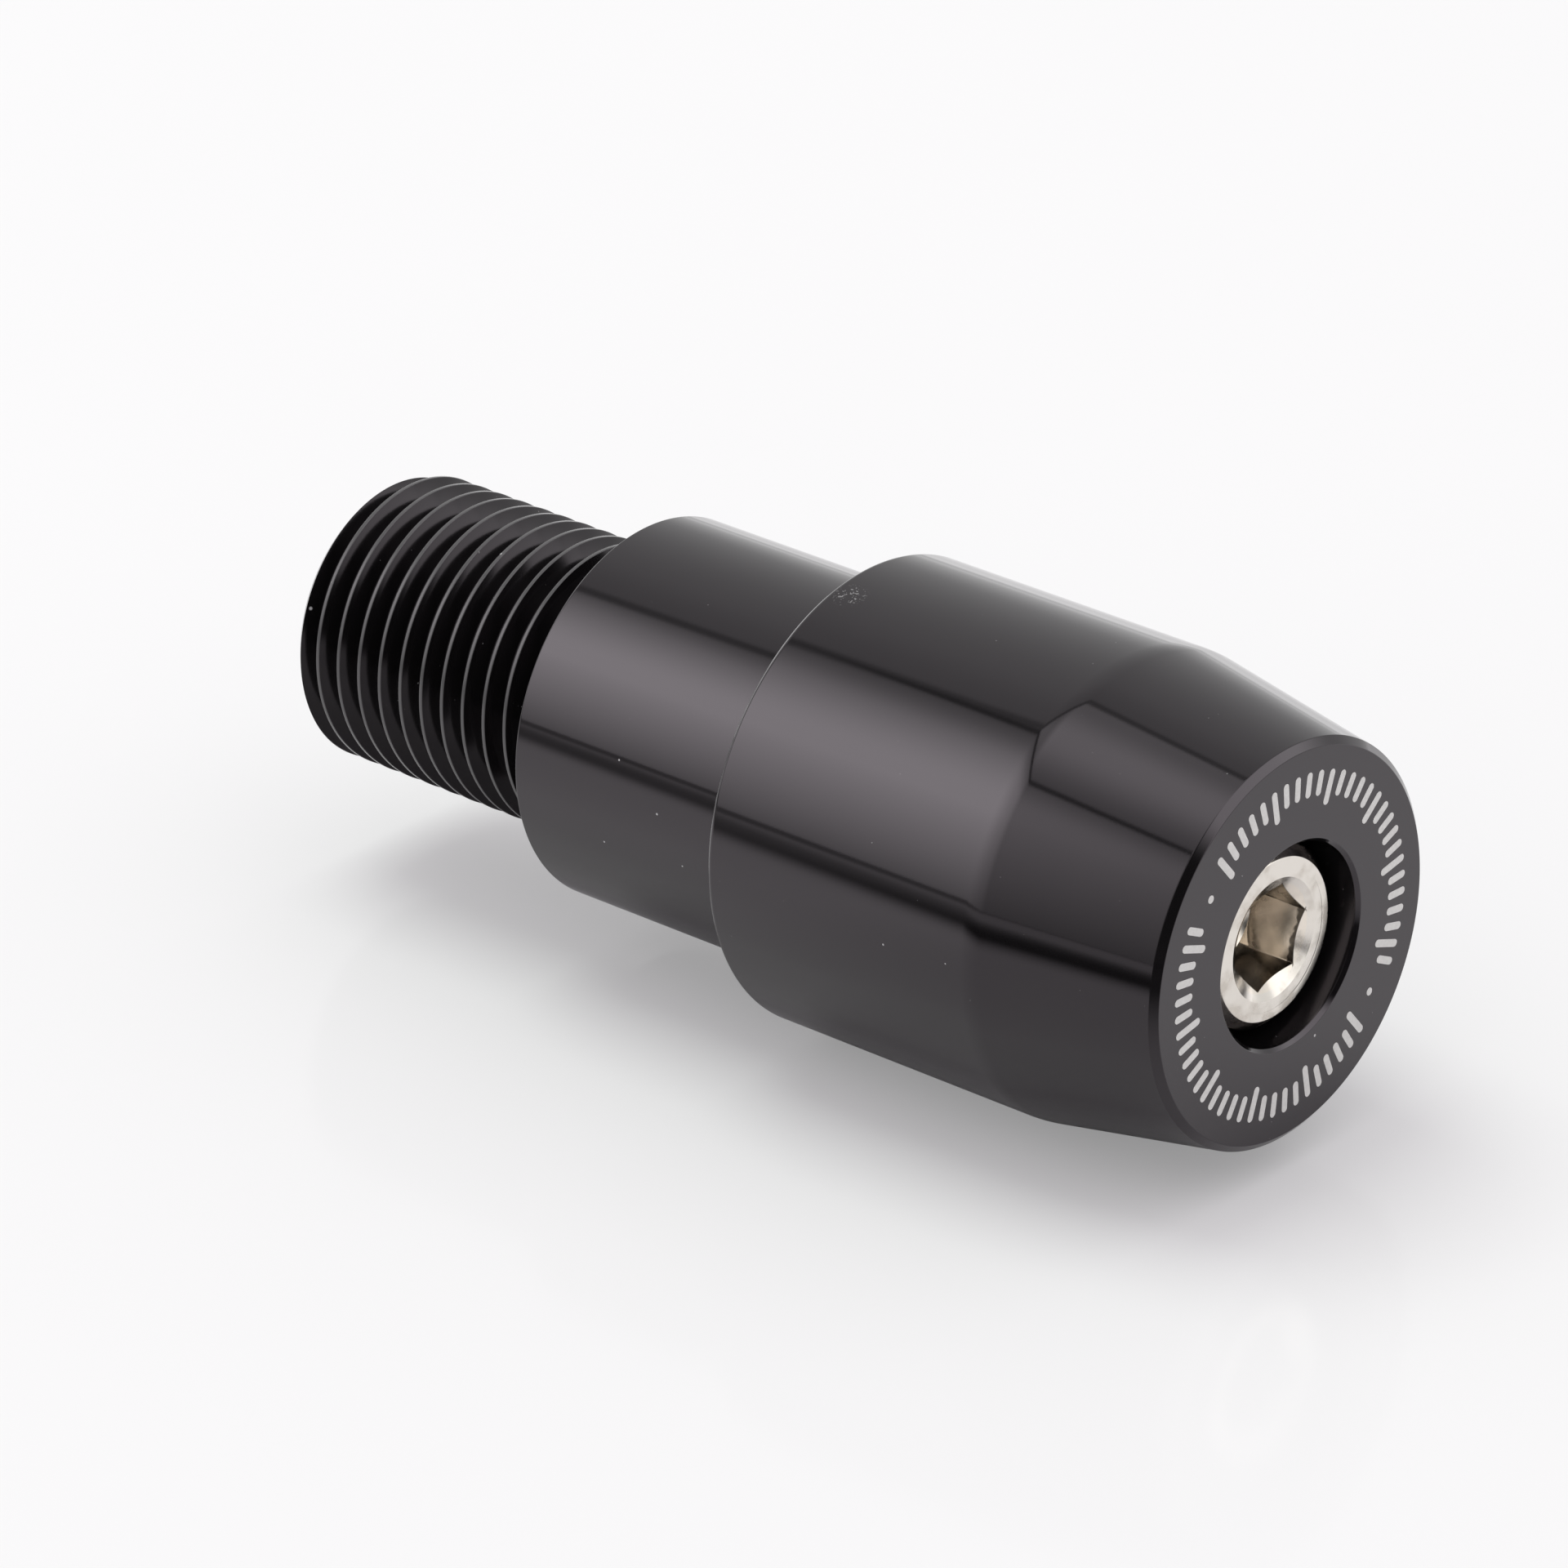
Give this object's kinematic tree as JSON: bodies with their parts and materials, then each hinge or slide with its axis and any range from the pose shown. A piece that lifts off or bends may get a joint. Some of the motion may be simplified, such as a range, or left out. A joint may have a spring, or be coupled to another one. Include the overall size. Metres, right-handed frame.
{
  "type": "bar end weight",
  "caption": "Black turned bar end weight for a motorcycle handlebar: threaded stud, collar, tapered barrel and a sunk socket head clamp screw.",
  "frame": {"origin": "middle of the stud's free end, on the plane that the part stands on", "axes": "+Z along the turning axis, from the threaded stud towards the outer end face"},
  "size_m": [0.0254, 0.0254, 0.0617],
  "materials": {
    "black_stud": "gloss black anodised, thread cut",
    "black_anodised": "fine satin black anodised over a turned surface",
    "stainless_screw": "plain stainless, finely turned head"
  },
  "bodies": {
    "root": {"threaded_stud": "black_stud", "end_weight": "black_anodised", "cap_screw": "stainless_screw"}
  },
  "joints": []
}
